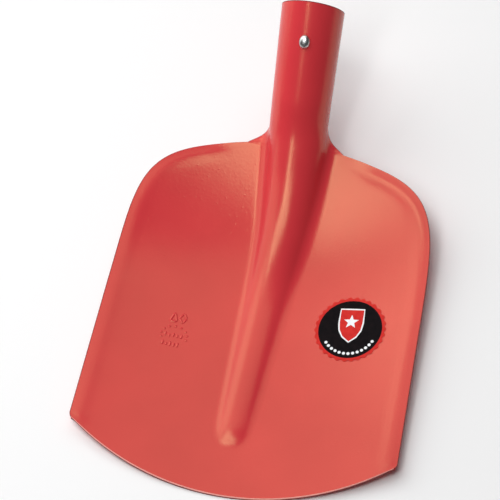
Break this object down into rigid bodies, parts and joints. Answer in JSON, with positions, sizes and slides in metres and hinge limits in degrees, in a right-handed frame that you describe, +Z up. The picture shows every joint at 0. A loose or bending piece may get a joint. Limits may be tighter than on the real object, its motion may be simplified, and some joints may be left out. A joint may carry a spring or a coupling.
{
  "type": "grain scoop shovel head",
  "caption": "Round-nosed pressed-steel shovel head with a dished blade, centre rib and lifted handle socket, no handle fitted.",
  "frame": {"origin": "middle of the footprint of the head as it lies on its back, on the floor", "axes": "+X to the right across the blade, +Y from the nose to the handle socket, +Z up out of the working face"},
  "size_m": [0.2354, 0.361, 0.1139],
  "materials": {
    "red_lacquer": "satin-gloss red lacquer with a slight orange peel",
    "zinc_steel": "bright zinc plating",
    "label_vinyl": "printed vinyl, black with a red border"
  },
  "bodies": {
    "root": {"pressed_head": "red_lacquer", "handle_rivet": "zinc_steel", "round_label": "label_vinyl"}
  },
  "joints": []
}
